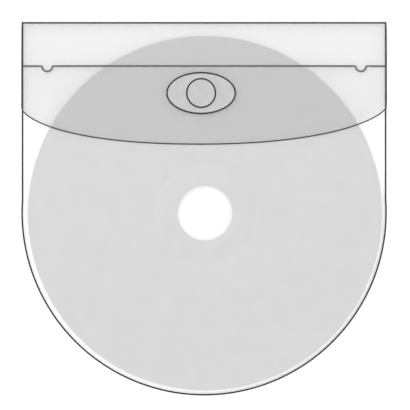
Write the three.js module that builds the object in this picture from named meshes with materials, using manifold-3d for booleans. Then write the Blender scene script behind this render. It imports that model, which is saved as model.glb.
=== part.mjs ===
// A clear film sleeve for one disc, with a round bottom and a fold-over flap, lying on its back.
// Millimetres, +Z up. The origin is the centre of the round bottom, on the surface it lies on.
// +Y points at the folded edge, and +X to the right of someone who looks at the flap.
import * as THREE from "three";
import { mergeVertices } from "three/addons/utils/BufferGeometryUtils.js";
import Module from "manifold-3d";

const wasm = await Module();
wasm.setup();

// The disc
const discDiameter = 120;
const discThickness = 1.2;
const discBore = 15;
const discChamfer = 0.12;
const discAcross = 0.3; // where the disc lies in the pocket
const discAlong = -0.15;
const faceGap = 0.05; // between a face of the disc and the film
const rimGap = 0.2; // between the rim of the disc and the film that bends over it

// The folded film, cut to fit the disc
const filmThickness = 0.15;
const sideRoom = 1.75; // from the disc out to each side of the pocket
const bottomBulge = 0.15; // how far the round bottom swells out past the straight sides
const foldRoom = 4.65; // from the disc up to the folded edge
const seamWidth = 0.45; // the bead where the two films are cut and melted together
const seamHeight = 0.25; // of the bead, above the back film

// The pocket's mouth
const mouthDrop = 14.75; // below the folded edge
const notchRadius = 1.6;
const notchInset = 8.6; // from each side of the pocket to the middle of a notch

// The flap's edge is a flattened arc, centred on the closure
const flapLength = 41.6; // from the folded edge down to the flap's tip
const flapArcDepth = 16.5;
const flapArcSpare = 2.05; // how far the arc would go on past each side of the pocket
const flapArcPowerLeft = 2.25; // 2 is an ellipse, and more is squarer
const flapArcPowerRight = 2.09;
const flapTipGap = 0.15; // between the flap's tip and the front film

// The press-stud closure
const closureAcross = -1;
const closureDrop = 24.15; // below the folded edge
const capLength = 23.6;
const capWidth = 14.3;
const capThickness = 0.5;
const capBevel = 0.12;
const buttonDiameter = 10;
const buttonRise = 0.4;
const buttonBevel = 0.15;
const studDiameter = 4.4;
const studHeadroom = 0.1; // between the end of the stud and the front film
const studGap = 0.3; // round the stud, in the flap and in the socket
const socketDiameter = 9;
const socketHeight = 0.8;
const capMargin = 0.4; // of level flap around the cap

// Fineness of the curves
const bottomSteps = 96;
const sideSteps = 14;
const wallSteps = 8;
const foldSteps = 10;
const bendSteps = 12; // in each slope of the flap
const flapEdgeSteps = 80;
const ringSteps = 64;
const discSteps = 128;
const overlapCut = 1; // how far a cutting body reaches past what it cuts

// Places in plan, from the centre of the round bottom
const halfWidth = discDiameter / 2 + sideRoom;
const bottomRadius = halfWidth + bottomBulge;
const foldHeight = discDiameter / 2 + foldRoom;
const mouthHeight = foldHeight - mouthDrop;
const flapTip = foldHeight - flapLength;
const closureAlong = foldHeight - closureDrop;

// Heights from the surface up
const backTop = filmThickness;
const discBottom = backTop + faceGap;
const discTop = discBottom + discThickness;
const pocketCeiling = discTop + faceGap;
const frontTop = pocketCeiling + filmThickness;
const flapUnder = frontTop + socketHeight;
const flapTop = flapUnder + filmThickness;
const foldRadius = (pocketCeiling - backTop) / 2; // inside the bend
const bendLine = foldHeight - foldRadius - filmThickness;

const clearFilm = new THREE.MeshStandardMaterial({
  color: 0xf6f8f8,
  roughness: 0.12,
  metalness: 0,
  transparent: true,
  opacity: 0.25,
});
const frostedFilm = new THREE.MeshStandardMaterial({
  color: 0xe9ebeb,
  roughness: 0.4,
  metalness: 0,
  transparent: true,
  opacity: 0.45,
});
const discFace = new THREE.MeshStandardMaterial({
  color: 0xd9dadb,
  roughness: 0.35,
  metalness: 0.35,
});
const mouldedPlastic = new THREE.MeshStandardMaterial({
  color: 0xdfe2e3,
  roughness: 0.3,
  metalness: 0,
  transparent: true,
  opacity: 0.6,
});

const smooth = (t) => t * t * (3 - 2 * t);
const mix = (a, b, t) => a + (b - a) * t;

// A closed geometry as a solid
function solidOf(geometry) {
  geometry.deleteAttribute("normal");
  geometry.deleteAttribute("uv");
  const merged = mergeVertices(geometry, 1e-4);
  return new wasm.Manifold(
    new wasm.Mesh({
      numProp: 3,
      vertProperties: merged.attributes.position.array,
      triVerts: new Uint32Array(merged.index.array),
    }),
  );
}

function geometryOf(solid) {
  const { numProp, numVert, vertProperties, triVerts } = solid.getMesh();
  const positions = new Float32Array(numVert * 3);
  for (let i = 0; i < numVert; i++) {
    positions.set(vertProperties.subarray(i * numProp, i * numProp + 3), i * 3);
  }
  const geometry = new THREE.BufferGeometry();
  geometry.setAttribute("position", new THREE.BufferAttribute(positions, 3));
  geometry.setIndex(new THREE.BufferAttribute(triVerts, 1));
  geometry.computeVertexNormals();
  return geometry;
}

// An outline of [x, y] points, extruded from one height to another
function prism(points, low, high) {
  const shape = new THREE.Shape(points.map(([x, y]) => new THREE.Vector2(x, y)));
  const settings = { depth: high - low, bevelEnabled: false };
  return new THREE.ExtrudeGeometry(shape, settings).translate(0, 0, low);
}

function cylinder(x, y, radius, low, high) {
  return solidOf(
    new THREE.CylinderGeometry(radius, radius, high - low, ringSteps)
      .rotateX(Math.PI / 2)
      .translate(x, y, (low + high) / 2),
  );
}

// Loops of [x, y, z] points with the same count, joined in turn from the lowest face to the top
function stack(loops) {
  const count = loops[0].length;
  const positions = loops.flat(2);
  const indices = [];
  for (let ring = 0; ring < loops.length - 1; ring++) {
    for (let i = 0; i < count; i++) {
      const next = (i + 1) % count;
      const a = ring * count + i;
      const b = ring * count + next;
      indices.push(a, b, b + count, a, b + count, a + count);
    }
  }
  for (const [loop, first, turned] of [
    [loops[0], 0, true],
    [loops.at(-1), (loops.length - 1) * count, false],
  ]) {
    const middle = positions.length / 3;
    for (let axis = 0; axis < 3; axis++) {
      positions.push(loop.reduce((sum, point) => sum + point[axis], 0) / count);
    }
    for (let i = 0; i < count; i++) {
      const a = first + i;
      const b = first + ((i + 1) % count);
      indices.push(...(turned ? [b, a, middle] : [a, b, middle]));
    }
  }
  const geometry = new THREE.BufferGeometry();
  geometry.setAttribute("position", new THREE.Float32BufferAttribute(positions, 3));
  geometry.setIndex(indices);
  return geometry;
}

function oval(x, y, z, halfLength, halfHeight) {
  return Array.from({ length: ringSteps }, (_, i) => {
    const angle = (i / ringSteps) * 2 * Math.PI;
    return [x + halfLength * Math.cos(angle), y + halfHeight * Math.sin(angle), z];
  });
}

// The round bottom between two sides, from the left side under the middle to the right
function bottomArc(radius, side) {
  const meet = Math.acos(side / radius);
  return Array.from({ length: bottomSteps + 1 }, (_, i) => {
    const angle = mix(Math.PI - meet, 2 * Math.PI + meet, i / bottomSteps);
    return [radius * Math.cos(angle), radius * Math.sin(angle)];
  });
}

// All the way round the pocket: its cut edge, the foot of the front film's wall just inside the
// seam, and the crest where that film is level over the disc
function wallStations(top) {
  const reach = discDiameter / 2 + rimGap;
  const side = halfWidth - seamWidth;
  const rims = bottomArc(bottomRadius, halfWidth);
  const feet = bottomArc(bottomRadius - seamWidth, side);
  const bottom = feet.map(([x, y], i) => {
    const distance = Math.hypot(x, y);
    const shift = (discAcross * x + discAlong * y) / distance;
    const crest = shift + Math.sqrt(reach ** 2 - discAcross ** 2 - discAlong ** 2 + shift ** 2);
    return {
      rim: rims[i],
      foot: [x, y],
      crest: [(crest * x) / distance, (crest * y) / distance],
    };
  });
  const low = feet[0][1];
  const sideRows = (sign) =>
    Array.from({ length: sideSteps }, (_, i) => {
      const y = mix(top, low, i / sideSteps);
      const chord = Math.sqrt(reach ** 2 - (y - discAlong) ** 2);
      return {
        rim: [sign * halfWidth, y],
        foot: [sign * side, y],
        crest: [discAcross + sign * chord, y],
      };
    });
  return [...sideRows(-1), ...bottom, ...sideRows(1).toReversed()];
}

// One loop of the front film's wall, at a share of its rise, moved out along its slope
function wallLoop(stations, share, out) {
  const rise = pocketCeiling - backTop;
  const slope = rise * 6 * share * (1 - share);
  return stations.map(({ foot, crest }) => {
    const inward = [crest[0] - foot[0], crest[1] - foot[1]];
    const run = Math.hypot(...inward);
    const steep = Math.hypot(run, slope);
    const x = mix(foot[0], crest[0], share) - ((inward[0] / run) * out * slope) / steep;
    const y = mix(foot[1], crest[1], share) - ((inward[1] / run) * out * slope) / steep;
    return [x, y, backTop + rise * smooth(share) + (out * run) / steep];
  });
}

function frontPanel() {
  const top = mouthHeight + overlapCut;
  const stations = wallStations(top);
  const level = (edge, z) => stations.map((station) => [...station[edge], z]);
  const shares = Array.from({ length: wallSteps + 1 }, (_, i) => i / wallSteps);
  const beadTop = backTop + seamHeight;
  const outside = solidOf(
    stack([
      level("rim", backTop),
      level("rim", beadTop),
      level("foot", beadTop),
      ...shares.map((share) => wallLoop(stations, share, filmThickness)).slice(1),
    ]),
  );
  const inside = solidOf(
    stack([
      level("foot", backTop - overlapCut),
      ...shares.map((share) => wallLoop(stations, share, 0)),
    ]),
  );
  const aboveMouth = solidOf(
    prism(
      [
        [-halfWidth - overlapCut, mouthHeight],
        [halfWidth + overlapCut, mouthHeight],
        [halfWidth + overlapCut, top + overlapCut],
        [-halfWidth - overlapCut, top + overlapCut],
      ],
      backTop - overlapCut,
      frontTop + overlapCut,
    ),
  );
  let film = outside.subtract(inside).subtract(aboveMouth);
  for (const sign of [-1, 1]) {
    const x = sign * (halfWidth - notchInset);
    const low = backTop - overlapCut;
    const high = frontTop + overlapCut;
    film = film.subtract(cylinder(x, mouthHeight, notchRadius, low, high));
  }
  return film;
}

// The flap's underside: up from the bend, level under the cap, and down to the tip
function flapUnderside() {
  const levelTop = closureAlong + capWidth / 2 + capMargin;
  const levelBottom = closureAlong - capWidth / 2 - capMargin;
  const tipHeight = frontTop + flapTipGap;
  const points = [];
  for (let i = 0; i <= bendSteps; i++) {
    const share = i / bendSteps;
    points.push([mix(bendLine, levelTop, share), mix(pocketCeiling, flapUnder, smooth(share))]);
  }
  for (let i = 0; i <= bendSteps; i++) {
    const share = i / bendSteps;
    points.push([mix(levelBottom, flapTip, share), mix(flapUnder, tipHeight, smooth(share))]);
  }
  points.push([flapTip - overlapCut, tipHeight]);
  return points;
}

// The height of the flap's edge at a place across the sleeve
function flapEdge(x) {
  const onLeft = x < closureAcross;
  const power = onLeft ? flapArcPowerLeft : flapArcPowerRight;
  const toSide = onLeft ? halfWidth + closureAcross : halfWidth - closureAcross;
  const share = Math.min(1, Math.abs(x - closureAcross) / (toSide + flapArcSpare));
  const rise = (1 - share ** power) ** (1 / power);
  return flapTip + flapArcDepth * (1 - rise);
}

function backPanelWithFlap() {
  const under = flapUnderside();
  const bend = (radius, from, to) =>
    Array.from({ length: foldSteps - 1 }, (_, i) => {
      const angle = mix(from, to, (i + 1) / foldSteps);
      return [bendLine + radius * Math.cos(angle), backTop + foldRadius + radius * Math.sin(angle)];
    });
  const bottom = -bottomRadius - overlapCut;
  const section = [
    [bottom, 0],
    [bendLine, 0],
    ...bend(foldRadius + filmThickness, -Math.PI / 2, Math.PI / 2),
    ...under.map(([y, z]) => [y, z + filmThickness]),
    ...under.toReversed(),
    ...bend(foldRadius, Math.PI / 2, -Math.PI / 2),
    [bendLine, backTop],
    [bottom, backTop],
  ];
  const reach = bottomRadius + overlapCut;
  const acrossToX = new THREE.Matrix4().makeBasis(
    new THREE.Vector3(0, 1, 0),
    new THREE.Vector3(0, 0, 1),
    new THREE.Vector3(1, 0, 0),
  );
  const folded = solidOf(prism(section, -reach, reach).applyMatrix4(acrossToX));
  const above = foldHeight + overlapCut;
  const outline = [[-halfWidth, above], ...bottomArc(bottomRadius, halfWidth), [halfWidth, above]];
  const cutToShape = solidOf(prism(outline, -overlapCut, flapTop + overlapCut));
  const edge = [
    [reach, bottom],
    ...Array.from({ length: flapEdgeSteps + 1 }, (_, i) => {
      const x = mix(halfWidth + overlapCut, -halfWidth - overlapCut, i / flapEdgeSteps);
      return [x, flapEdge(x)];
    }),
    [-reach, bottom],
  ];
  const belowFlap = solidOf(prism(edge, backTop + foldRadius, flapTop + overlapCut));
  const holeRadius = studDiameter / 2 + studGap;
  const studHole = cylinder(closureAcross, closureAlong, holeRadius, frontTop, flapTop + overlapCut);
  return folded.intersect(cutToShape).subtract(belowFlap).subtract(studHole);
}

function disc() {
  const outer = discDiameter / 2;
  const inner = discBore / 2;
  const profile = [
    [inner, discBottom + discChamfer],
    [inner + discChamfer, discBottom],
    [outer - discChamfer, discBottom],
    [outer, discBottom + discChamfer],
    [outer, discTop - discChamfer],
    [outer - discChamfer, discTop],
    [inner + discChamfer, discTop],
    [inner, discTop - discChamfer],
    [inner, discBottom + discChamfer],
  ].map(([radius, z]) => new THREE.Vector2(radius, z));
  return solidOf(
    new THREE.LatheGeometry(profile, discSteps)
      .rotateX(Math.PI / 2)
      .translate(discAcross, discAlong, 0),
  );
}

// The cap's plate and button lie on the flap, and its stud goes down through it
function closureCap() {
  const at = (z, halfLength, halfHeight) =>
    oval(closureAcross, closureAlong, z, halfLength, halfHeight);
  const length = capLength / 2;
  const width = capWidth / 2;
  const stud = studDiameter / 2;
  const button = buttonDiameter / 2;
  const plateTop = flapTop + capThickness;
  const buttonTop = plateTop + buttonRise;
  return solidOf(
    stack([
      at(frontTop + studHeadroom, stud, stud),
      at(flapTop, stud, stud),
      at(flapTop, length, width),
      at(plateTop - capBevel, length, width),
      at(plateTop, length - capBevel, width - capBevel),
      at(plateTop, button, button),
      at(buttonTop - buttonBevel, button, button),
      at(buttonTop, button - buttonBevel, button - buttonBevel),
    ]),
  );
}

// The ring on the front film that the stud snaps into
function closureSocket() {
  const wall = cylinder(closureAcross, closureAlong, socketDiameter / 2, frontTop, flapUnder);
  const holeRadius = studDiameter / 2 + studGap;
  const low = frontTop - overlapCut;
  const high = flapUnder + overlapCut;
  return wall.subtract(cylinder(closureAcross, closureAlong, holeRadius, low, high));
}

const sleeve = new THREE.Group();
for (const [name, solid, material] of [
  ["back_panel_with_flap", backPanelWithFlap(), frostedFilm],
  ["front_panel", frontPanel(), clearFilm],
  ["disc", disc(), discFace],
  ["closure_cap", closureCap(), mouldedPlastic],
  ["closure_socket", closureSocket(), mouldedPlastic],
]) {
  const mesh = new THREE.Mesh(geometryOf(solid), material);
  mesh.name = name;
  sleeve.add(mesh);
}

export default sleeve;
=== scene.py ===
# Clear disc sleeve with a round bottom and a frosted flap, lying on its back on a white table
import math
import bpy
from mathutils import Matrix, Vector


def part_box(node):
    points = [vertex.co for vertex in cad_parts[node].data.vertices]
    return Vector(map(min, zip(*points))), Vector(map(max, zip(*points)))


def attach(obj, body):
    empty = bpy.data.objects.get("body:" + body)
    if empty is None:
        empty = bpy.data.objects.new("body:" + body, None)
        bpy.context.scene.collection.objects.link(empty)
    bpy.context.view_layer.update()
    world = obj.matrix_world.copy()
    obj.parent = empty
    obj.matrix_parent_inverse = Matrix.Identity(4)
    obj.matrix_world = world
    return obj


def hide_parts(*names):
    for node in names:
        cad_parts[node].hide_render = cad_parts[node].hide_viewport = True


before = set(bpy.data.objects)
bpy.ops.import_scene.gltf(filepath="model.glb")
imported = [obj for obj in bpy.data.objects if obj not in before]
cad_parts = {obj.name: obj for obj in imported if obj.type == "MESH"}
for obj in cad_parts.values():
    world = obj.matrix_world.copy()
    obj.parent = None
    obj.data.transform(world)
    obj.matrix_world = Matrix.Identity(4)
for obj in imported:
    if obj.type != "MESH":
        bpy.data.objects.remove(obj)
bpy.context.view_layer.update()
print("frame loaded")

mm = 0.001
tolerance = 1e-7  # of a place, in metres

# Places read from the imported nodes, in metres
_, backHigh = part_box("back_panel_with_flap")
_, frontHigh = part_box("front_panel")
discLow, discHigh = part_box("disc")
capLow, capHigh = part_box("closure_cap")
socketLow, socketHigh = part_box("closure_socket")

film = {
    "thickness": 0.15 * mm,
    "bulge": 0.15 * mm,  # of the round bottom past the straight sides
    "seam": 0.45 * mm,  # width of the melted band along the cut edge
    "rimGap": 0.2 * mm,  # between the disc's rim and the crest of the front film
    "levelRing": 0.6 * mm,  # of faces inside the crest
    "firstRow": math.radians(89),  # down the round bottom, a degree short of its lowest point
    "columns": 24,
    "roundSteps": 128,
    "sideSteps": 24,
    "wallSteps": 20,
    "bendSteps": 18,
}
bottomRadius = backHigh.x
halfWidth = bottomRadius - film["bulge"]
foldHeight = backHigh.y
mouthHeight = frontHigh.y
backTop = film["thickness"]
frontTop = frontHigh.z
ceiling = frontTop - film["thickness"]
flapUnder = socketHigh.z
foldRadius = (ceiling - backTop) / 2
bendLine = foldHeight - foldRadius - film["thickness"]
closureAcross = (socketLow.x + socketHigh.x) / 2
closureAlong = (socketLow.y + socketHigh.y) / 2
discAcross = (discLow.x + discHigh.x) / 2
discAlong = (discLow.y + discHigh.y) / 2
discRadius = (discHigh.x - discLow.x) / 2


def mix(a, b, share):
    return a + (b - a) * share


def smooth(share):
    return share * share * (3 - 2 * share)


# A node with its inputs set: a socket is linked, and anything else is its value
def addNode(tree, kind, inputs=None, **settings):
    node = tree.nodes.new(kind)
    for name, value in settings.items():
        setattr(node, name, value)
    for name, value in (inputs or {}).items():
        if isinstance(value, bpy.types.NodeSocket):
            tree.links.new(value, node.inputs[name])
        else:
            node.inputs[name].default_value = value
    return node


def blankMaterial(name):
    material = bpy.data.materials.new(name)
    material.use_nodes = True
    material.node_tree.nodes.clear()
    return material, material.node_tree


def finishMaterial(tree, shader):
    addNode(tree, "ShaderNodeOutputMaterial", {"Surface": shader})


def grey(level):
    return (level, level, level, 1)


# Noise on the object's own coordinates, stretched by a Mapping node
def noiseOn(tree, scale, detail=2.0, stretch=(1, 1, 1)):
    place = addNode(tree, "ShaderNodeTexCoord").outputs["Object"]
    mapped = addNode(tree, "ShaderNodeMapping", {"Vector": place, "Scale": stretch})
    noise = addNode(tree, "ShaderNodeTexNoise",
                    {"Vector": mapped.outputs[0], "Scale": scale, "Detail": detail})
    return noise.outputs["Fac"]


# A value brought from one range to another: noise lies mostly between 0.3 and 0.7
def ranged(tree, value, low, high, start=0.3, end=0.7):
    node = addNode(tree, "ShaderNodeMapRange",
                   {"Value": value, "From Min": start, "From Max": end, "To Min": low, "To Max": high})
    return node.outputs["Result"]


def eitherSide(level, share):
    return level * (1 - share), level * (1 + share)


# A grey that noise moves between two levels
def mottledGrey(tree, noise, low, high):
    level = ranged(tree, noise, low, high)
    colour = addNode(tree, "ShaderNodeCombineColor", {"Red": level, "Green": level, "Blue": level})
    return colour.outputs[0]


def bumped(tree, height, strength, distance, under=None):
    inputs = {"Height": height, "Strength": strength, "Distance": distance}
    if under is not None:
        inputs["Normal"] = under
    return addNode(tree, "ShaderNodeBump", inputs).outputs["Normal"]


plasticIor = 1.49

# Noise scale, detail and stretch of what every clear sheet has, and how deep its bumps are
clearTexture = {
    "drawLines": (420, 3.0, (1, 0.03, 1)),  # streaks along the film's draw direction
    "scuffs": (2600, 4.0),
    "waves": (42, 1.0, (1, 0.6, 1)),
    "waveDepth": 1.2 * mm,
    "grainDepth": 0.1 * mm,
    "slantPower": 5.0,  # how late the surface turns to a mirror as it slants
}
clearFilmLook = {
    "tint": 0.999, "straightOn": 0.02, "haze": 0.002, "hazeSpread": 0.004, "roughness": (0.10, 0.16),
    "waves": 0.04, "grainScale": 900, "grain": 0.01, "shine": 1.0, "metallic": 1.0,
}
frostedFilmLook = {
    "tint": 0.94, "straightOn": 0.0, "haze": 0.08, "hazeSpread": 0.02, "roughness": (0.36, 0.44),
    "waves": 0.04, "grainScale": 5200, "grain": 0.06, "shine": 0.86, "metallic": 0.0,
}
clearDiscLook = {
    "tint": 0.999, "straightOn": 0.02, "haze": 0.002, "hazeSpread": 0.003, "roughness": (0.04, 0.07),
    "waves": 0.0, "grainScale": 1500, "grain": 0.005, "shine": 0.97, "metallic": 1.0,
}


# Film and clear plastic: a tinted clear body under a reflecting surface with a little haze
def clearMaterial(name, look):
    material, tree = blankMaterial(name)
    drawLines = noiseOn(tree, *clearTexture["drawLines"])
    scuffs = noiseOn(tree, *clearTexture["scuffs"])
    waves = noiseOn(tree, *clearTexture["waves"])
    grain = noiseOn(tree, look["grainScale"])
    normal = bumped(tree, waves, look["waves"], clearTexture["waveDepth"])
    normal = bumped(tree, grain, look["grain"], clearTexture["grainDepth"], normal)
    slant = addNode(tree, "ShaderNodeLayerWeight", {"Blend": 0.5, "Normal": normal}).outputs["Facing"]
    grazing = addNode(tree, "ShaderNodeMath", {0: slant, 1: clearTexture["slantPower"]},
                      operation="POWER")
    mirror = ranged(tree, grazing.outputs[0], look["straightOn"], 1.0, 0, 1)
    haze = ranged(tree, scuffs, look["haze"], look["haze"] + look["hazeSpread"])
    share = addNode(tree, "ShaderNodeMath", {0: mirror, 1: haze}, operation="ADD", use_clamp=True)
    clear = addNode(tree, "ShaderNodeBsdfTransparent", {"Color": grey(look["tint"])})
    surface = addNode(tree, "ShaderNodeBsdfPrincipled", {
        "Base Color": grey(look["shine"]),
        "Metallic": look["metallic"],
        "Roughness": ranged(tree, drawLines, *look["roughness"]),
        "Normal": normal,
    })
    shader = addNode(tree, "ShaderNodeMixShader",
                     {0: share.outputs[0], 1: clear.outputs[0], 2: surface.outputs[0]})
    finishMaterial(tree, shader.outputs[0])
    return material


# Near-black colour of the film's edges: painted shade where the clear film's edges look dark
edgeShadeLook = {
    "dark": 0.006, "pale": 0.016, "roughness": (0.22, 0.4), "cloudNoise": (700, 3.0),
    "grainNoise": (5000, 2.0), "grain": 0.15, "grainDepth": 0.03 * mm,
}


# A cut or rolled film edge gathers the light along the sheet and looks dark from above; this material
# paints that dark look as a near-black colour, painted shade
def edgeShadeMaterial(name, look):
    material, tree = blankMaterial(name)
    cloud = noiseOn(tree, *look["cloudNoise"])
    grain = noiseOn(tree, *look["grainNoise"])
    surface = addNode(tree, "ShaderNodeBsdfPrincipled", {
        "Base Color": mottledGrey(tree, cloud, look["dark"], look["pale"]),
        "Roughness": ranged(tree, grain, *look["roughness"]),
        "IOR": plasticIor,
        "Normal": bumped(tree, grain, look["grain"], look["grainDepth"]),
    })
    finishMaterial(tree, surface.outputs[0])
    return material


printLook = {
    "level": 0.652, "mottle": 0.012, "metallic": 0.2, "roughness": (0.38, 0.5),
    "ringStep": 0.9 * mm,  # of radius for each radian of the rings' wave
    "rings": 0.015, "ringDepth": 0.05 * mm, "grain": 0.05, "grainDepth": 0.03 * mm,
    "mottleNoise": (260, 5.0), "grainNoise": (6500, 2.0),
}
waveRadians = 20  # in each unit of the wave texture


# Rings round the disc's own axis, and the place measured from that axis
def ringsOn(tree, step):
    place = addNode(tree, "ShaderNodeTexCoord").outputs["Object"]
    centred = addNode(tree, "ShaderNodeMapping",
                      {"Vector": place, "Location": (-discAcross, -discAlong, 0), "Scale": (1, 1, 0)})
    rings = addNode(tree, "ShaderNodeTexWave",
                    {"Vector": centred.outputs[0], "Scale": 1 / (step * waveRadians), "Distortion": 0.0},
                    wave_type="RINGS", rings_direction="Z")
    return rings.outputs["Fac"], centred.outputs[0]


def printMaterial(name, look):
    material, tree = blankMaterial(name)
    mottle = noiseOn(tree, *look["mottleNoise"])
    grain = noiseOn(tree, *look["grainNoise"])
    rings, _ = ringsOn(tree, look["ringStep"])
    normal = bumped(tree, rings, look["rings"], look["ringDepth"])
    normal = bumped(tree, grain, look["grain"], look["grainDepth"], normal)
    surface = addNode(tree, "ShaderNodeBsdfPrincipled", {
        "Base Color": mottledGrey(tree, mottle, *eitherSide(look["level"], look["mottle"])),
        "Metallic": look["metallic"],
        "Roughness": ranged(tree, grain, *look["roughness"]),
        "Normal": normal,
    })
    finishMaterial(tree, surface.outputs[0])
    return material


dataLook = {
    "tone": (0.72, 0.73, 0.76), "roughness": 0.12,
    "ringStep": 0.6 * mm, "rings": 0.04, "ringDepth": 0.05 * mm,
    "fans": 3.0,  # round the disc
    "fanShare": 0.35,  # of the painted rainbow sheen's colours in the tone
    "paintedSheenColours": ((0.80, 0.66, 0.72), (0.78, 0.76, 0.62), (0.64, 0.78, 0.70), (0.62, 0.72, 0.84)),
    "fanPlaces": (0.35, 0.65),  # of the two middle colours along the ramp
}


# The mirror underside, with a painted rainbow sheen: pale fans of colour round its axis
def dataMaterial(name, look):
    material, tree = blankMaterial(name)
    rings, centred = ringsOn(tree, look["ringStep"])
    # Painted rainbow sheen: colour by angle round the axis, mixed into the mirror's tint
    parts = addNode(tree, "ShaderNodeSeparateXYZ", {0: centred})
    angle = addNode(tree, "ShaderNodeMath", {0: parts.outputs[1], 1: parts.outputs[0]},
                    operation="ARCTAN2")
    turns = addNode(tree, "ShaderNodeMath", {0: angle.outputs[0], 1: look["fans"]},
                    operation="MULTIPLY")
    fan = addNode(tree, "ShaderNodeMath", {0: turns.outputs[0]}, operation="SINE")
    ramp = addNode(tree, "ShaderNodeValToRGB", {0: ranged(tree, fan.outputs[0], 0, 1, -1, 1)})
    stops = ramp.color_ramp.elements
    first, *middle, last = look["paintedSheenColours"]
    stops[0].color = (*first, 1)
    stops[1].color = (*last, 1)
    for place, colour in zip(look["fanPlaces"], middle):
        stops.new(place).color = (*colour, 1)
    toned = addNode(tree, "ShaderNodeMix",
                    {0: look["fanShare"], 6: (*look["tone"], 1), 7: ramp.outputs[0]},
                    data_type="RGBA")
    surface = addNode(tree, "ShaderNodeBsdfPrincipled", {
        "Base Color": toned.outputs[2],
        "Metallic": 1.0,
        "Roughness": look["roughness"],
        "Normal": bumped(tree, rings, look["rings"], look["ringDepth"]),
    })
    finishMaterial(tree, surface.outputs[0])
    return material


closureLook = {
    "solid": 0.82, "solidSpread": 0.02, "tint": 0.97, "level": 0.565, "mottle": 0.015,
    "roughness": (0.28, 0.42), "grain": 0.12, "grainDepth": 0.03 * mm,
    "cloudNoise": (380, 3.0), "grainNoise": (4200, 3.0),
}


# Moulded translucent plastic with a fine satin texture
def closureMaterial(name, look):
    material, tree = blankMaterial(name)
    cloud = noiseOn(tree, *look["cloudNoise"])
    grain = noiseOn(tree, *look["grainNoise"])
    surface = addNode(tree, "ShaderNodeBsdfPrincipled", {
        "Base Color": mottledGrey(tree, cloud, *eitherSide(look["level"], look["mottle"])),
        "Roughness": ranged(tree, grain, *look["roughness"]),
        "IOR": plasticIor,
        "Normal": bumped(tree, grain, look["grain"], look["grainDepth"]),
    })
    clear = addNode(tree, "ShaderNodeBsdfTransparent", {"Color": grey(look["tint"])})
    share = ranged(tree, cloud, look["solid"] - look["solidSpread"],
                   look["solid"] + look["solidSpread"])
    shader = addNode(tree, "ShaderNodeMixShader",
                     {0: share, 1: clear.outputs[0], 2: surface.outputs[0]})
    finishMaterial(tree, shader.outputs[0])
    return material


clearFilm = clearMaterial("clear film", clearFilmLook)
frostedFilm = clearMaterial("frosted film", frostedFilmLook)
clearDisc = clearMaterial("clear polycarbonate", clearDiscLook)
paintedEdgeShade = edgeShadeMaterial("film edge painted shade", edgeShadeLook)
discPrint = printMaterial("silver grey print", printLook)
discData = dataMaterial("mirror data side", dataLook)
mouldedClosure = closureMaterial("moulded closure", closureLook)
print("materials made")


def meshPiece(name, points, faces, materials, edges=()):
    mesh = bpy.data.meshes.new(name)
    mesh.from_pydata([tuple(point) for point in points], list(edges), faces)
    for material in materials:
        mesh.materials.append(material)
    piece = bpy.data.objects.new(name, mesh)
    bpy.context.scene.collection.objects.link(piece)
    return piece


# Edges that turn by more than this stay sharp
sharpAbove = {"film": math.radians(40), "turned": math.radians(25), "moulded": math.radians(50)}
drillSteps = 48


# Modifiers' result as a plain mesh on the same object, smooth but for its sharp edges
def settle(piece, kind="film"):
    evaluated = piece.evaluated_get(bpy.context.evaluated_depsgraph_get())
    mesh = bpy.data.meshes.new_from_object(evaluated)
    piece.modifiers.clear()
    piece.data = mesh
    mesh.shade_smooth()
    mesh.set_sharp_from_angle(angle=sharpAbove[kind])
    return piece


# Faces between rows of points with the same count
def bridged(rows, count, closed=False):
    faces = []
    for row in range(rows - 1):
        for i in range(count if closed else count - 1):
            a, b = row * count + i, row * count + (i + 1) % count
            faces.append((a, b, b + count, a + count))
    return faces


def roundAngles(count):
    return [2 * math.pi * i / count for i in range(count)]


# A round cutter, removed after the cut
def drill(x, y, radius, low, high):
    points = [(x + radius * math.cos(angle), y + radius * math.sin(angle), z)
              for z in (low, high) for angle in roundAngles(drillSteps)]
    faces = bridged(2, drillSteps, closed=True)
    faces += [tuple(reversed(range(drillSteps))), tuple(range(drillSteps, 2 * drillSteps))]
    return meshPiece("drill", points, faces, [])


def thicken(piece):
    solid = piece.modifiers.new("film thickness", "SOLIDIFY")
    solid.thickness = film["thickness"]
    solid.offset = 0
    solid.use_even_offset = True


def cut(piece, *cutters):
    for cutter in cutters:
        modifier = piece.modifiers.new("cut", "BOOLEAN")
        modifier.operation = "DIFFERENCE"
        modifier.solver = "EXACT"
        modifier.object = cutter
    settle(piece)
    for cutter in cutters:
        bpy.data.objects.remove(cutter)


def dress(piece, slot, *nodes):
    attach(piece, "root")
    if nodes:
        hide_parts(*nodes)


# A Geometry Nodes tree that a piece is passed through, with named inputs
def geometryTree(name, inputs):
    tree = bpy.data.node_groups.new(name, "GeometryNodeTree")
    tree.interface.new_socket("Geometry", in_out="INPUT", socket_type="NodeSocketGeometry")
    for label, kind in inputs.items():
        tree.interface.new_socket(label, in_out="INPUT", socket_type="NodeSocket" + kind)
    tree.interface.new_socket("Geometry", in_out="OUTPUT", socket_type="NodeSocketGeometry")
    return tree, tree.nodes.new("NodeGroupInput").outputs


def endTree(tree, geometry, material):
    whole = addNode(tree, "GeometryNodeRealizeInstances", {"Geometry": geometry})
    coloured = addNode(tree, "GeometryNodeSetMaterial",
                       {"Geometry": whole.outputs[0], "Material": material})
    addNode(tree, "NodeGroupOutput", {"Geometry": coloured.outputs[0]})


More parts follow.
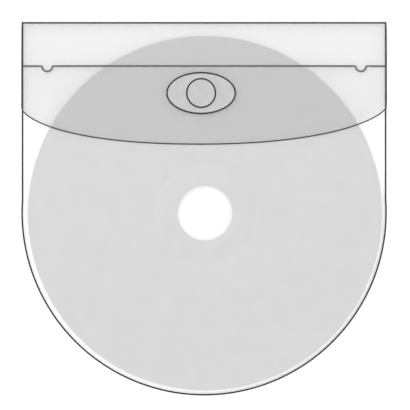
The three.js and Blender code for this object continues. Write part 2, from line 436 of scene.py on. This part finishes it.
# A round bead that follows a path of edges, and is as heavy along it as the path's weight says
def beadTree():
    tree, given = geometryTree("bead along an edge",
                               {"Radius": "Float", "Sides": "Int", "Material": "Material"})
    path = addNode(tree, "GeometryNodeMeshToCurve", {"Mesh": given["Geometry"]})
    section = addNode(tree, "GeometryNodeCurvePrimitiveCircle",
                      {"Resolution": given["Sides"], "Radius": given["Radius"]})
    weight = addNode(tree, "GeometryNodeInputNamedAttribute", {"Name": "weight"}, data_type="FLOAT")
    bead = addNode(tree, "GeometryNodeCurveToMesh", {
        "Curve": path.outputs[0],
        "Profile Curve": section.outputs[0],
        "Scale": weight.outputs["Attribute"],
        "Fill Caps": True,
    })
    endTree(tree, bead.outputs[0], given["Material"])
    return tree


spokeRadius = 1.0  # of the circle that carries a turned section


# A section of edges turned round the Z axis
def turnedTree():
    tree, given = geometryTree("turned section", {
        "Steps": "Int", "Middle": "Vector", "Material": "Material"})
    section = addNode(tree, "GeometryNodeMeshToCurve", {"Mesh": given["Geometry"]})
    spokes = addNode(tree, "GeometryNodeCurvePrimitiveCircle",
                     {"Resolution": given["Steps"], "Radius": spokeRadius})
    upright = addNode(tree, "GeometryNodeSetCurveNormal",
                      {"Curve": spokes.outputs[0]}, mode="Z_UP")
    turned = addNode(tree, "GeometryNodeCurveToMesh",
                     {"Curve": upright.outputs[0], "Profile Curve": section.outputs[0]})
    placed = addNode(tree, "GeometryNodeTransform",
                     {"Geometry": turned.outputs[0], "Translation": given["Middle"]})
    endTree(tree, placed.outputs[0], given["Material"])
    return tree


def passThrough(piece, tree, values):
    modifier = piece.modifiers.new(tree.name, "NODES")
    modifier.node_group = tree
    for item in tree.interface.items_tree:
        if item.in_out == "INPUT" and item.name in values:
            modifier[item.identifier] = values[item.name]


alongEdge = beadTree()
roundAxis = turnedTree()


# The path's points are x, y, z and weight; the bead is coloured near black, painted shade of the film's
# edge
def bead(name, path, closed=False):
    count = len(path)
    edges = [(i, (i + 1) % count) for i in range(count if closed else count - 1)]
    piece = meshPiece(name, [point[:3] for point in path], [], [], edges)
    weights = piece.data.attributes.new("weight", "FLOAT", "POINT")
    weights.data.foreach_set("value", [point[3] for point in path])
    passThrough(piece, alongEdge,
                {"Radius": edgeBead["radius"], "Sides": edgeBead["sides"], "Material": paintedEdgeShade})
    settle(piece)
    dress(piece, "film_edge")


# The section's points are radius and height, inwards over the top and back below
def turned(name, section, steps, middle, material):
    count = len(section)
    points = [(radius - spokeRadius, -z, 0) for radius, z in reversed(section)]
    piece = meshPiece(name, points, [], [], [(i, (i + 1) % count) for i in range(count)])
    passThrough(piece, roundAxis, {"Steps": steps, "Middle": middle, "Material": material})
    return settle(piece, "turned")


# The flap's edge is a flattened arc centred on the closure
flap = {
    "arcDepth": 16.5 * mm,
    "arcSpare": 2.05 * mm,  # how far the arc would go on past each side of the pocket
    "arcPowers": (2.25, 2.09),  # on the left and on the right
    "tip": 23.05 * mm,
    "tipGap": 0.15 * mm,
    "capMargin": 0.4 * mm,  # of level flap around the cap
    "holeRadius": 2.5 * mm,
    "creaseFrom": 0.12,  # shares of the bend between which its faces are painted near black, painted shade along the fold
    "creaseTo": 0.88,
    "tipShare": 0.02,  # of the arc's reach, half the width of the lowest row
    "edgeSteps": 60,
    "slopeSteps": 22,
}
toSides = (halfWidth + closureAcross, halfWidth - closureAcross)
arcReaches = [toSide + flap["arcSpare"] for toSide in toSides]
levelTop = capHigh.y + flap["capMargin"]
levelBottom = capLow.y - flap["capMargin"]


# The height of the flap's edge at a share of the arc's reach, on side 0 or 1
def arcRise(share, side):
    power = flap["arcPowers"][side]
    inside = max(0.0, 1 - share ** power)
    return flap["tip"] + flap["arcDepth"] * (1 - inside ** (1 / power))


# How far the flap goes from the closure to its edge at a height, on side 0 or 1
def arcWidth(y, side):
    power = flap["arcPowers"][side]
    inside = max(0.0, 1 - (y - flap["tip"]) / flap["arcDepth"])
    share = max(0.0, 1 - inside ** power) ** (1 / power)
    return min(toSides[side], share * arcReaches[side])


# The two ends of the flap's row at a height
def flapEnds(y):
    return closureAcross - arcWidth(y, 0), closureAcross + arcWidth(y, 1)


# How high the underside of the flap's film is, at a place along the sleeve
def undersideOf(y):
    if y >= levelTop:
        return mix(ceiling, flapUnder, smooth((bendLine - y) / (bendLine - levelTop)))
    if y >= levelBottom:
        return flapUnder
    share = min(1.0, (levelBottom - y) / (levelBottom - flap["tip"]))
    return mix(flapUnder, frontTop + flap["tipGap"], smooth(share))


# Shares of the arc's reach at which it meets the sides
cornerShares = [toSide / reach for toSide, reach in zip(toSides, arcReaches)]


# Rows of the folded sheet, each with its place along the sleeve, height and two ends
def sheetRows():
    rows = []
    half = film["thickness"] / 2
    meet = math.sqrt(bottomRadius ** 2 - halfWidth ** 2)
    steps = film["roundSteps"] // 2
    for i in range(steps + 1):
        angle = mix(film["firstRow"], -math.asin(meet / bottomRadius), i / steps)
        across = bottomRadius * math.cos(angle)
        rows.append((-bottomRadius * math.sin(angle), half, -across, across))
    for i in range(1, film["sideSteps"] + 1):
        rows.append((mix(meet, bendLine, i / film["sideSteps"]), half, -halfWidth, halfWidth))
    for i in range(1, film["bendSteps"]):
        angle = mix(-math.pi / 2, math.pi / 2, i / film["bendSteps"])
        y = bendLine + (foldRadius + half) * math.cos(angle)
        z = backTop + foldRadius + (foldRadius + half) * math.sin(angle)
        rows.append((y, z, -halfWidth, halfWidth))
    places = {arcRise(cornerShares[side], side) for side in (0, 1)}
    places |= {arcRise(mix(flap["tipShare"], cornerShares[0], i / flap["edgeSteps"]), 0)
               for i in range(flap["edgeSteps"])}
    for start, end in ((bendLine, levelTop), (levelTop, levelBottom), (levelBottom, flap["tip"])):
        places |= {mix(start, end, i / flap["slopeSteps"]) for i in range(flap["slopeSteps"])}
    lowest = arcRise(flap["tipShare"], 0) - tolerance
    for y in sorted(places, reverse=True):
        if y > lowest:
            rows.append((y, undersideOf(y) + half, *flapEnds(y)))
    return rows


def foldedSheet():
    rows = sheetRows()
    columns = film["columns"] + 1
    points = [(mix(left, right, i / film["columns"]), y, z)
              for y, z, left, right in rows for i in range(columns)]
    materials = [clearFilm, frostedFilm, paintedEdgeShade]
    piece = meshPiece("folded_sheet", points, bridged(len(rows), columns), materials)
    bend = film["bendSteps"]
    flapStart = film["roundSteps"] // 2 + film["sideSteps"] + bend
    creaseLow = flapStart - bend * flap["creaseTo"]
    creaseHigh = flapStart - bend * flap["creaseFrom"]
    # Faces on the bend's crease get the near-black edge material: painted shade along the fold
    for face in piece.data.polygons:
        row = face.index // film["columns"]
        onCrease = creaseLow < row < creaseHigh
        face.material_index = 2 if onCrease else int(row >= flapStart)
    hole = drill(closureAcross, closureAlong, flap["holeRadius"], frontTop, capHigh.z)
    thicken(piece)
    cut(piece, hole)
    dress(piece, "frosted_film", "back_panel_with_flap")


# All the way round the pocket: the cut edge, the foot of the film's wall and its level crest
def wallStations():
    stations = []
    reach = discRadius + film["rimGap"]
    side = halfWidth - film["seam"]
    seat = bottomRadius - film["seam"]
    meetRim = math.acos(halfWidth / bottomRadius)
    meetFoot = math.acos(side / seat)
    low = seat * math.sin(meetFoot)

    def sideRow(sign, y):
        chord = math.sqrt(reach ** 2 - (y - discAlong) ** 2)
        return (sign * halfWidth, y), (sign * side, y), (discAcross + sign * chord, y)

    for i in range(film["sideSteps"]):
        stations.append(sideRow(-1, mix(mouthHeight, low, i / film["sideSteps"])))
    for i in range(film["roundSteps"] + 1):
        share = i / film["roundSteps"]
        rim = mix(math.pi - meetRim, 2 * math.pi + meetRim, share)
        foot = mix(math.pi - meetFoot, 2 * math.pi + meetFoot, share)
        across, along = math.cos(foot), math.sin(foot)
        shift = discAcross * across + discAlong * along
        crest = shift + math.sqrt(reach ** 2 - discAcross ** 2 - discAlong ** 2 + shift ** 2)
        stations.append(((bottomRadius * math.cos(rim), bottomRadius * math.sin(rim)),
                         (seat * across, seat * along), (crest * across, crest * along)))
    for i in range(film["sideSteps"] - 1, -1, -1):
        stations.append(sideRow(1, mix(mouthHeight, low, i / film["sideSteps"])))
    return stations


# The middle of the front film at a share of its rise from the seam to the crest
def wallPoint(foot, crest, share):
    rise = ceiling - backTop
    slope = rise * 6 * share * (1 - share)  # of smooth() at this share
    inward = Vector(crest) - Vector(foot)
    steep = math.hypot(inward.length, slope)
    out = film["thickness"] / 2
    flat = Vector(foot) + inward * share - inward.normalized() * (out * slope / steep)
    return flat.x, flat.y, backTop + rise * smooth(share) + out * inward.length / steep


notch = {"inset": 8.6 * mm, "radius": 1.6 * mm}
notchAcross = halfWidth - notch["inset"]


# Loops from the cut edge over the wall, closed by one level face over the disc
def frontFilm():
    stations = wallStations()
    count = len(stations)
    half = film["thickness"] / 2
    loops = [[(*rim, backTop + half) for rim, _, _ in stations]]
    for i in range(film["wallSteps"] + 1):
        share = i / film["wallSteps"]
        loops.append([wallPoint(foot, crest, share) for _, foot, crest in stations])
    inner = []
    for _, foot, crest in stations:
        inward = (Vector(crest) - Vector(foot)).normalized() * film["levelRing"]
        inner.append((crest[0] + inward.x, crest[1] + inward.y, ceiling + half))
    loops.append(inner)
    points = [point for loop in loops for point in loop]
    faces = bridged(len(loops), count)
    faces.append(tuple(range((len(loops) - 1) * count, len(loops) * count)))
    piece = meshPiece("front_film", points, faces, [clearFilm])
    thicken(piece)
    low, high = 0, frontTop + notch["radius"]
    cut(piece, *[drill(sign * notchAcross, mouthHeight, notch["radius"], low, high) for sign in (-1, 1)])
    dress(piece, "clear_film", "front_panel")


foldedSheet()
frontFilm()
print("films made")

# The beads are near-black strips of painted shade that draw the film's edges
edgeBead = {
    "radius": 0.2 * mm,
    "inset": 0.2 * mm,  # of its middle from the film's edge
    "proud": 0.05 * mm,  # of the film's upper face
    "around": 1.35,  # weights of the stretches
    "folded": 1.65,
    "flap": 1.05,
    "mouth": 1.7,
    "mouthEnd": 1.0 * mm,  # how far the mouth's bent ends reach past the wall's crest
    "sides": 10,
    "cornerSteps": 4,  # from the pocket's side to a notch
    "notchSteps": 16,
    "mouthSteps": 16,
    "flapSideSteps": 24,
}


# The cut edge goes right round the sheet: back, bends and flap
def cutEdgePath():
    inset = edgeBead["inset"]
    width = halfWidth - inset
    rounded = bottomRadius - inset
    meet = math.acos(width / rounded)
    around, folded, light = edgeBead["around"], edgeBead["folded"], edgeBead["flap"]
    path = []
    for i in range(film["roundSteps"] + 1):
        angle = mix(math.pi - meet, 2 * math.pi + meet, i / film["roundSteps"])
        path.append((rounded * math.cos(angle), rounded * math.sin(angle),
                     edgeBead["radius"] * around, around))
    turnRadius = foldRadius + film["thickness"] - edgeBead["radius"] * around
    bend = []
    for i in range(film["bendSteps"] + 1):
        angle = mix(-math.pi / 2, math.pi / 2, i / film["bendSteps"])
        bend.append((bendLine + turnRadius * math.cos(angle),
                     backTop + foldRadius + turnRadius * math.sin(angle)))
    path += [(width, y, z, around) for y, z in bend]
    flapEdge = []
    for i in range(flap["edgeSteps"] + 1):
        share = mix(cornerShares[1], -cornerShares[0], i / flap["edgeSteps"])
        side = 0 if share < 0 else 1
        x = max(-width, min(width, closureAcross + share * arcReaches[side]))
        flapEdge.append((x, arcRise(abs(share), side) + inset, light))
    steps = edgeBead["flapSideSteps"]
    rightSide = [mix(bendLine, flapEdge[0][1], i / steps) for i in range(1, steps)]
    leftSide = [mix(flapEdge[-1][1], bendLine, i / steps) for i in range(1, steps)]
    outline = ([(width, y, folded) for y in rightSide] + flapEdge
               + [(-width, y, folded) for y in leftSide])
    for x, y, weight in outline:
        lift = film["thickness"] + edgeBead["proud"] - edgeBead["radius"] * weight
        path.append((x, y, undersideOf(y) + lift, weight))
    path += [(-width, y, z, around) for y, z in reversed(bend)]
    return path


# Along the pocket's mouth, dipping round each notch
def mouthPath():
    inset = edgeBead["inset"]
    y = mouthHeight - inset
    side = halfWidth - film["seam"]
    chord = math.sqrt((discRadius + film["rimGap"]) ** 2 - (y - discAlong) ** 2)
    turn = notch["radius"] + inset
    cornerSteps = edgeBead["cornerSteps"]
    notchSteps = edgeBead["notchSteps"]
    mouthSteps = edgeBead["mouthSteps"]
    places = []
    for sign in (-1, 1):
        half = [(sign * mix(side, notchAcross + turn, i / cornerSteps), y) for i in range(cornerSteps)]
        for i in range(notchSteps + 1):
            angle = math.pi * i / notchSteps
            half.append((sign * (notchAcross + turn * math.cos(angle)), y - turn * math.sin(angle)))
        half += [(sign * mix(notchAcross - turn, chord - edgeBead["mouthEnd"], i / mouthSteps), y)
                 for i in range(1, mouthSteps + 1)]
        places += half if sign < 0 else list(reversed(half))
    path = []
    for x, along in places:
        sign = math.copysign(1, x)
        crest = (discAcross + sign * chord, along)
        share = min(1.0, max(0.0, (side - abs(x)) / (side - abs(crest[0]))))
        height = wallPoint((sign * side, along), crest, share)[2] + edgeBead["proud"]
        height = max(height, edgeBead["radius"] * edgeBead["mouth"])  # clear of the table
        path.append((x, along, height, edgeBead["mouth"]))
    return path


# Near-black beads of painted edge shade round the sheet and along the pocket's mouth
bead("cut_edge", cutEdgePath(), closed=True)
bead("mouth_edge", mouthPath())
print("edges made")

disc = {
    "bore": 7.5 * mm,  # radius
    "chamfer": 0.12 * mm,
    "printFrom": 9.28 * mm,
    "printTo": 59.88 * mm,
    "dataFrom": 22.5 * mm,
    "dataTo": 58.6 * mm,
    "groove": 17.2 * mm,  # radius of the stacking groove
    "grooveTop": 0.5 * mm,  # half its width at the top, and at its floor
    "grooveFloor": 0.25 * mm,
    "grooveDepth": 0.04 * mm,
    "flatFrom": 0.5,  # a face whose normal stands higher or lower than this is on a flat side
    "steps": 192,
}


# From the rim over the printed side to the bore, and back along the data side
def discSection():
    low, high = discLow.z, discHigh.z
    edge, chamfer = discRadius, disc["chamfer"]
    groove, depth = disc["groove"], disc["grooveDepth"]
    wide, narrow = disc["grooveTop"], disc["grooveFloor"]
    top = [(edge - chamfer, high), (disc["printTo"], high), (disc["dataFrom"], high),
           (groove + wide, high), (groove + narrow, high - depth),
           (groove - narrow, high - depth), (groove - wide, high),
           (disc["printFrom"], high), (disc["bore"] + chamfer, high)]
    under = [(disc["bore"] + chamfer, low), (disc["dataFrom"], low), (disc["dataTo"], low),
             (edge - chamfer, low)]
    return ([(edge, low + chamfer), (edge, high - chamfer)] + top
            + [(disc["bore"], high - chamfer), (disc["bore"], low + chamfer)] + under)


def plainDisc():
    piece = turned("plain_disc", discSection(), disc["steps"], (discAcross, discAlong, 0), clearDisc)
    for material in (discPrint, discData):
        piece.data.materials.append(material)
    middle = Vector((discAcross, discAlong))
    for face in piece.data.polygons:
        radius = (face.center.xy - middle).length
        if face.normal.z > disc["flatFrom"] and disc["printFrom"] < radius < disc["printTo"]:
            face.material_index = 1
        elif face.normal.z < -disc["flatFrom"] and disc["dataFrom"] < radius < disc["dataTo"]:
            face.material_index = 2
    dress(piece, "disc_print", "disc")


plainDisc()
print("disc made")

cap = {
    "lip": 0.52 * mm,  # width of the raised lip round the plate, and round the button
    "buttonLip": 0.42 * mm,
    "lipRise": 0.06 * mm,
    "plate": 0.5 * mm,  # thickness above the flap
    "round": 0.1 * mm,  # radius of the roundings
    "button": 5.0 * mm,  # radius
    "stud": 2.2 * mm,  # radius
    "lift": 0.02 * mm,  # clear of the film next to it
    "bevel": 0.3,  # share of a rounding that its middle point is in from the corner
    "dishDepth": 0.04 * mm,
    "dishShare": 0.45,  # of the button's radius
    "steps": 96,
}
socket = {"studGap": 0.3 * mm, "steps": 64}


def closureCap():
    length = (capHigh.x - capLow.x) / 2
    width = (capHigh.y - capLow.y) / 2
    button, stud, soft = cap["button"], cap["stud"], cap["round"]
    bevel = soft * cap["bevel"]
    lip, ledge = cap["lip"], cap["buttonLip"]
    base = flapUnder + film["thickness"] + cap["lift"]
    plateTop = flapUnder + film["thickness"] + cap["plate"]
    face = plateTop - cap["lipRise"]
    crown = capHigh.z
    well = crown - cap["lipRise"]
    # Each ring: height, half length, half width, and whether the band above it is painted near black as
    # edge shade
    rings = [
        (capLow.z, stud - soft, stud - soft, 0),
        (capLow.z + soft, stud, stud, 0),
        (base, stud, stud, 0),
        (base, length - soft, width - soft, 1),
        (base + soft, length, width, 1),
        (plateTop - soft, length, width, 1),
        (plateTop - bevel, length - bevel, width - bevel, 1),
        (plateTop, length - soft, width - soft, 1),
        (plateTop, length - lip + soft, width - lip + soft, 1),
        (face, length - lip, width - lip, 0),
        (face, button + soft, button + soft, 1),
        (face + soft, button, button, 1),
        (crown - soft, button, button, 1),
        (crown - bevel, button - bevel, button - bevel, 1),
        (crown, button - soft, button - soft, 1),
        (crown, button - ledge + soft, button - ledge + soft, 1),
        (well, button - ledge, button - ledge, 0),
        (well - cap["dishDepth"], button * cap["dishShare"], button * cap["dishShare"], 0),
    ]
    count = cap["steps"]
    points = [(closureAcross + a * math.cos(angle), closureAlong + b * math.sin(angle), z)
              for z, a, b, _ in rings for angle in roundAngles(count)]
    faces = bridged(len(rings), count, closed=True)
    last = (len(rings) - 1) * count
    faces += [tuple(reversed(range(count))), tuple(range(last, last + count))]
    piece = meshPiece("press_cap", points, faces, [mouldedClosure, paintedEdgeShade])
    # Flagged bands on the cap's walls and lips are painted near black: painted edge shade
    for face in piece.data.polygons:
        ring = face.index // count
        face.material_index = rings[ring][3] if ring < len(rings) - 1 else 0
    settle(piece, "moulded")
    dress(piece, "moulded_closure", "closure_cap")


def closureSocket():
    outer = (socketHigh.x - socketLow.x) / 2
    inner = cap["stud"] + socket["studGap"]
    low, high = socketLow.z, socketHigh.z - cap["lift"]
    soft = cap["round"]
    bevel = soft * cap["bevel"]
    section = [(outer, low), (outer, high - soft), (outer - bevel, high - bevel),
               (outer - soft, high), (inner + soft, high), (inner + bevel, high - bevel),
               (inner, high - soft), (inner, low)]
    middle = (closureAcross, closureAlong, 0)
    piece = turned("press_socket", section, socket["steps"], middle, mouldedClosure)
    dress(piece, "moulded_closure", "closure_socket")


closureCap()
closureSocket()
print("closure made")

stage = {
    "size": 8.0,  # of the table, in metres
    "drop": 0.02 * mm,  # of the table below the sleeve
    "floor": 0.96, "speckle": 0.003, "speckleNoise": (900, 3.0),
    "roughness": 0.7, "specular": 0.2,
    "world": 0.48,
    "clearBounces": 32,  # enough for every film that lies on another
}


def whiteTable():
    reach = stage["size"] / 2
    corners = [(-reach, -reach), (reach, -reach), (reach, reach), (-reach, reach)]
    material, tree = blankMaterial("white table")
    speckle = noiseOn(tree, *stage["speckleNoise"])
    surface = addNode(tree, "ShaderNodeBsdfPrincipled", {
        "Base Color": mottledGrey(tree, speckle, *eitherSide(stage["floor"], stage["speckle"])),
        "Roughness": stage["roughness"],
        "Specular IOR Level": stage["specular"],
    })
    finishMaterial(tree, surface.outputs[0])
    floor = meshPiece("table", [(x, y, -stage["drop"]) for x, y in corners], [(0, 1, 2, 3)], [material])
    world = bpy.data.worlds.new("studio")
    world.use_nodes = True
    background = world.node_tree.nodes["Background"]
    background.inputs["Color"].default_value = grey(1)
    background.inputs["Strength"].default_value = stage["world"]
    bpy.context.scene.world = world


lamps = {
    "key": {"place": (-0.45, 0.5, 0.95), "size": 0.7, "power": 2.0, "inGloss": True},
    "fill": {"place": (0.6, -0.35, 0.8), "size": 0.9, "power": 1.0, "inGloss": True},
    "overhead": {"place": (0.0, 0.0, 3.0), "size": 0.5, "power": 55.0, "inGloss": False},
}


def softLamps():
    for name, lamp in lamps.items():
        light = bpy.data.lights.new(name, "AREA")
        light.shape = "DISK"
        light.size = lamp["size"]
        light.energy = lamp["power"]
        holder = bpy.data.objects.new(name, light)
        holder.location = lamp["place"]
        holder.rotation_euler = (-Vector(lamp["place"])).to_track_quat("-Z", "Y").to_euler()
        holder.visible_glossy = lamp["inGloss"]
        bpy.context.scene.collection.objects.link(holder)


# Straight down, through a long lens, framed as the picture is
camera = {
    "lens": 300, "sensor": 36, "near": 0.01, "far": 20,
    "view": 138.84 * mm,  # width of the picture at the front film
    "across": 0.31 * mm, "along": 2.63 * mm,
}


def lookDown():
    lens = bpy.data.cameras.new("camera")
    lens.lens = camera["lens"]
    lens.sensor_width = camera["sensor"]
    holder = bpy.data.objects.new("camera", lens)
    distance = camera["view"] * camera["lens"] / camera["sensor"]
    holder.location = (camera["across"], camera["along"], frontTop + distance)
    lens.clip_start, lens.clip_end = camera["near"], camera["far"]
    bpy.context.scene.collection.objects.link(holder)
    bpy.context.scene.camera = holder


whiteTable()
softLamps()
lookDown()
bpy.context.scene.view_settings.view_transform = "Standard"
bpy.context.scene.cycles.transparent_max_bounces = stage["clearBounces"]
print("stage made")
